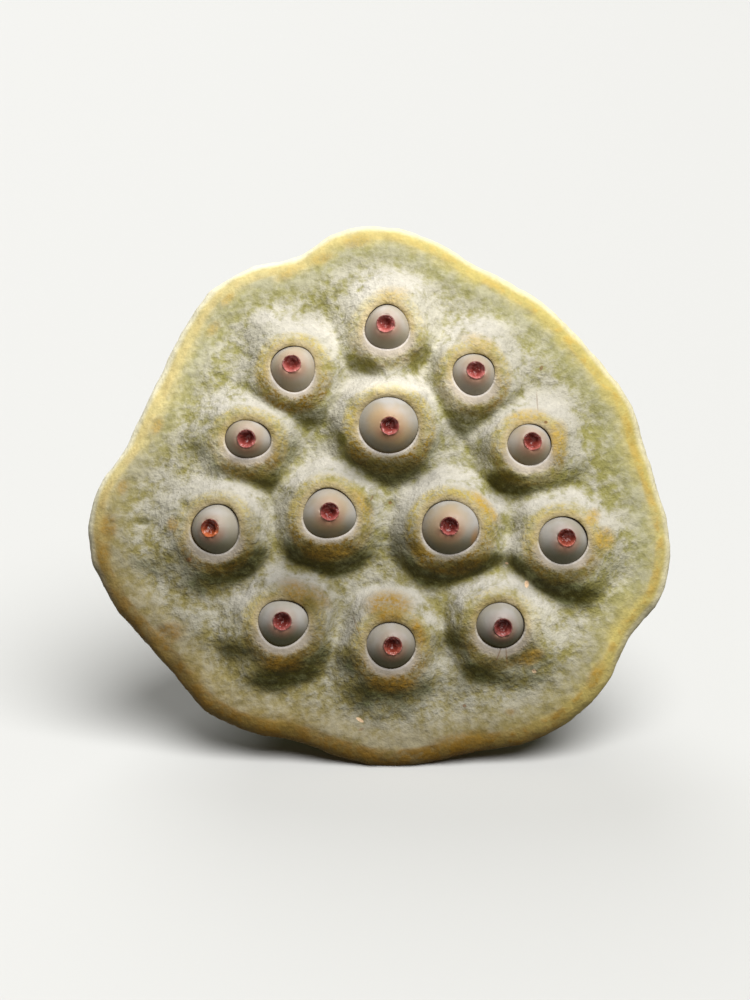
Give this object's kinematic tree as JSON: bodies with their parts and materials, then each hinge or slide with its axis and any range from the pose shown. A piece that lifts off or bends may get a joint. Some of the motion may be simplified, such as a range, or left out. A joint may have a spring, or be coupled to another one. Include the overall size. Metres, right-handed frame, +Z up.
{
  "type": "lotus pod",
  "caption": "Top-shaped lotus seed head with a wavy rim, lying on its side on its flank and stalk stub, with loose seeds set in raised mouths on its face.",
  "frame": {"origin": "on the surface that the head lies on, under the middle of its footprint", "axes": "+Z up; +Y from the face towards the cut end of the stalk; +X to the right of the face as seen from in front. The face looks along -Y and is turned up 22 degrees."},
  "size_m": [0.096, 0.1055, 0.0831],
  "materials": {
    "waxy_green_flesh": "soft spongy green flesh under a pale waxy bloom, golden at the rim",
    "seed_coat": "smooth hard grey-beige seed coat with a soft sheen and a dry red-brown stigma cup"
  },
  "bodies": {
    "root": {"receptacle": "waxy_green_flesh", "seed_inner_1": "seed_coat", "seed_inner_2": "seed_coat", "seed_inner_3": "seed_coat", "seed_outer_01": "seed_coat", "seed_outer_02": "seed_coat", "seed_outer_03": "seed_coat", "seed_outer_04": "seed_coat", "seed_outer_05": "seed_coat", "seed_outer_06": "seed_coat", "seed_outer_07": "seed_coat", "seed_outer_08": "seed_coat", "seed_outer_09": "seed_coat", "seed_outer_10": "seed_coat"}
  },
  "joints": []
}
